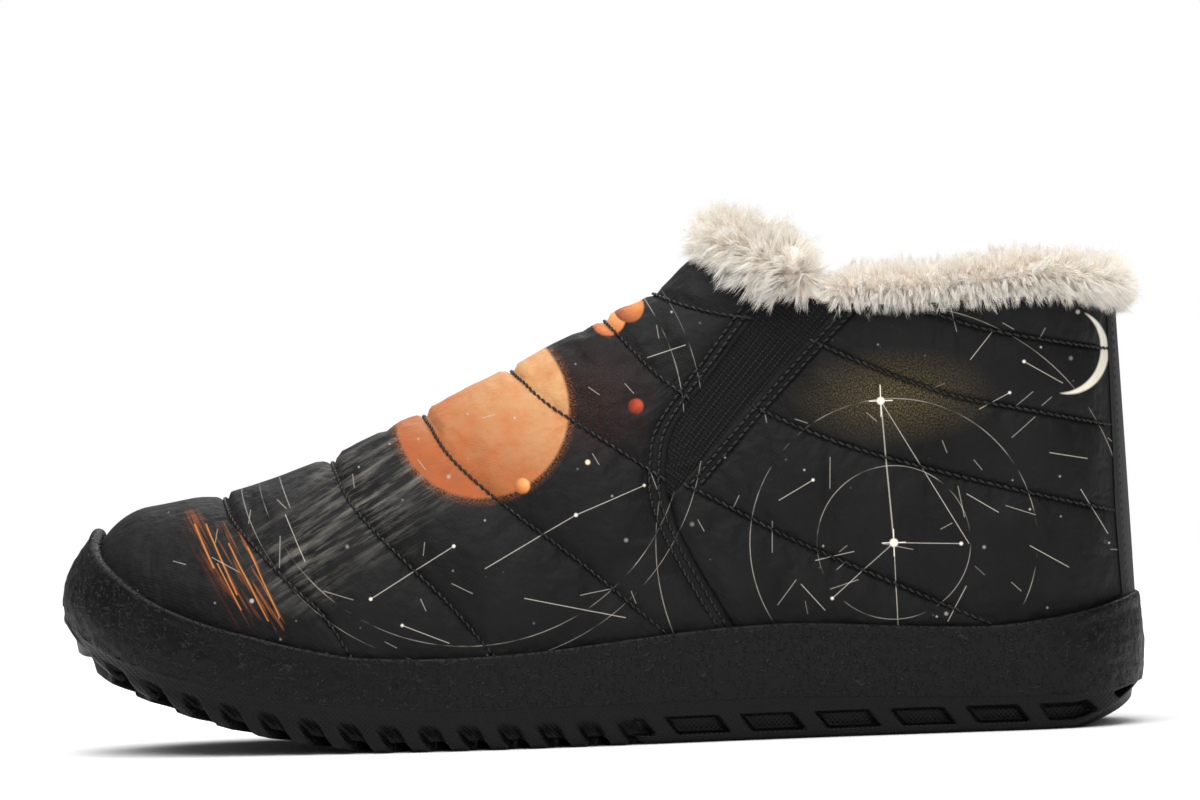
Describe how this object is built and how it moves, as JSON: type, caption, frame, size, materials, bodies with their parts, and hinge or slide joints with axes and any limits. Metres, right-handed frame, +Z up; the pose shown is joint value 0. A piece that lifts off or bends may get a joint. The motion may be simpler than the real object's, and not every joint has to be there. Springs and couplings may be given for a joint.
{
  "type": "winter boot",
  "caption": "Slip-on quilted ankle boot with a fleece lining, elastic side gores, a pebbled rubber cup sidewall and a lugged winter tread.",
  "frame": {"origin": "centre of the bounding box in X and Y, at the ground the tread stands on", "axes": "+X towards the heel and -X towards the toe, -Y towards the outer side of the foot, +Z up out of the collar"},
  "size_m": [0.285, 0.1064, 0.1391],
  "materials": {
    "fabric_shell": "matt woven polyester",
    "wadding": "polyester wadding",
    "fleece": "long pile fleece",
    "stiffener": "thermoplastic stiffener sheet",
    "webbing": "woven tape",
    "gore_elastic": "knitted elastic",
    "thread": "thick polyester thread",
    "tread_rubber": "moulded, matt",
    "sidewall_rubber": "moulded, pebbled",
    "eva_foam": "closed-cell foam",
    "shank_steel": "spring steel",
    "board": "insole board"
  },
  "bodies": {
    "boot": {"outsole": "tread_rubber", "sole_sidewall": "sidewall_rubber", "midsole_wedge": "eva_foam", "shank": "shank_steel", "insole_board": "board", "vamp_shell": "fabric_shell", "vamp_wadding": "wadding", "vamp_lining": "fleece", "toe_puff": "stiffener", "quarter_shell_lateral": "fabric_shell", "quarter_shell_medial": "fabric_shell", "quarter_wadding_lateral": "wadding", "quarter_wadding_medial": "wadding", "quarter_lining": "fleece", "heel_counter": "stiffener", "heel_strip": "webbing", "gore_lateral": "gore_elastic", "gore_medial": "gore_elastic", "collar_cuff_front": "fleece", "collar_cuff_rear": "fleece", "vamp_quilt_thread": "thread", "quarter_quilt_thread_lateral": "thread", "quarter_quilt_thread_medial": "thread", "gore_front_stitch_lateral": "thread", "gore_front_stitch_medial": "thread", "gore_rear_stitch_lateral": "thread", "gore_rear_stitch_medial": "thread", "heel_strip_stitch": "thread"},
    "footbed": {"footbed_foam": "eva_foam", "footbed_fleece": "fleece"}
  },
  "joints": [
    {"name": "footbed_lift", "type": "hinge", "parent": "boot", "child": "footbed", "pos_m": [-0.124, 0, 0.034], "axis": [0, -1, 0], "range_deg": [0, 8]}
  ]
}
